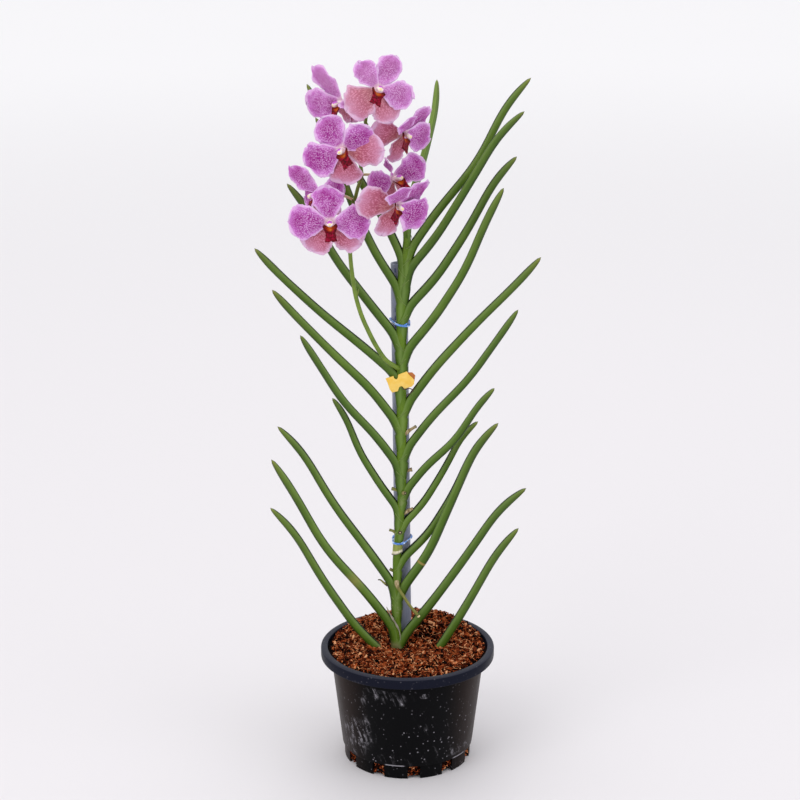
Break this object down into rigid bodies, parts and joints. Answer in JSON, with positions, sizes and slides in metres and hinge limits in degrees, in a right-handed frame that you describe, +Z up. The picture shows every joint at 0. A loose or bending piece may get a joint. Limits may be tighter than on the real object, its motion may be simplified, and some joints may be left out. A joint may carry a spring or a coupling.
{
  "type": "potted vanda orchid",
  "caption": "Orchid with narrow half-round leaves in opposite ranks and a spike of open lilac flowers, tied to a plastic stake in a black nursery pot of husk chips; it stands on the pot.",
  "frame": {"origin": "middle of the plant's width and depth, at the surface that the pot's feet stand on", "axes": "+Z up along the stem and stake; -Y towards the side that most flowers face; +X to the right"},
  "size_m": [0.282, 0.178, 0.7295],
  "materials": {
    "pot": "satin black moulded plastic, scuffed",
    "medium": "rust-brown coconut husk chips",
    "stem": "green leaf sheaths with dry pale edges",
    "leaf": "smooth half-gloss green leaf skin",
    "spike": "olive green flower stalk",
    "dry": "dry grey-brown old stalk",
    "tepal": "soft lilac and magenta petals with a pale net",
    "lip": "dark crimson and orange lip",
    "column": "cream column with a magenta cap",
    "stake": "grey-blue conduit plastic",
    "tie": "blue plastic-covered wire",
    "clip": "yellow moulded plastic",
    "jaw": "amber moulded plastic",
    "loop": "thin dark brown covered wire"
  },
  "bodies": {
    "root": {"pot": "pot", "medium": "medium", "stem": "stem", "stake": "stake", "leaf_right_01": "leaf", "leaf_right_02": "leaf", "leaf_right_03": "leaf", "leaf_right_04": "leaf", "leaf_right_05": "leaf", "leaf_right_06": "leaf", "leaf_right_07": "leaf", "leaf_right_08": "leaf", "leaf_right_09": "leaf", "leaf_right_10": "leaf", "leaf_right_11": "leaf", "leaf_right_12": "leaf", "leaf_right_13": "leaf", "leaf_left_01": "leaf", "leaf_left_02": "leaf", "leaf_left_03": "leaf", "leaf_left_04": "leaf", "leaf_left_05": "leaf", "leaf_left_06": "leaf", "leaf_left_07": "leaf", "leaf_left_08": "leaf", "leaf_left_09": "leaf", "leaf_left_10": "leaf", "flower_spike": "spike", "cut_stalk": "dry", "bloom_1_tepals": "tepal", "bloom_1_lip": "lip", "bloom_1_column": "column", "bloom_2_tepals": "tepal", "bloom_2_lip": "lip", "bloom_2_column": "column", "bloom_3_tepals": "tepal", "bloom_3_lip": "lip", "bloom_3_column": "column", "bloom_4_tepals": "tepal", "bloom_4_lip": "lip", "bloom_4_column": "column", "bloom_5_tepals": "tepal", "bloom_5_lip": "lip", "bloom_5_column": "column", "bloom_6_tepals": "tepal", "bloom_6_lip": "lip", "bloom_6_column": "column", "bloom_7_tepals": "tepal", "bloom_7_lip": "lip", "bloom_7_column": "column", "bloom_8_tepals": "tepal", "bloom_8_lip": "lip", "bloom_8_column": "column", "tie_upper": "tie", "tie_lower": "tie", "clip_plate": "clip", "clip_jaw": "jaw", "clip_loop": "loop"}
  },
  "joints": []
}
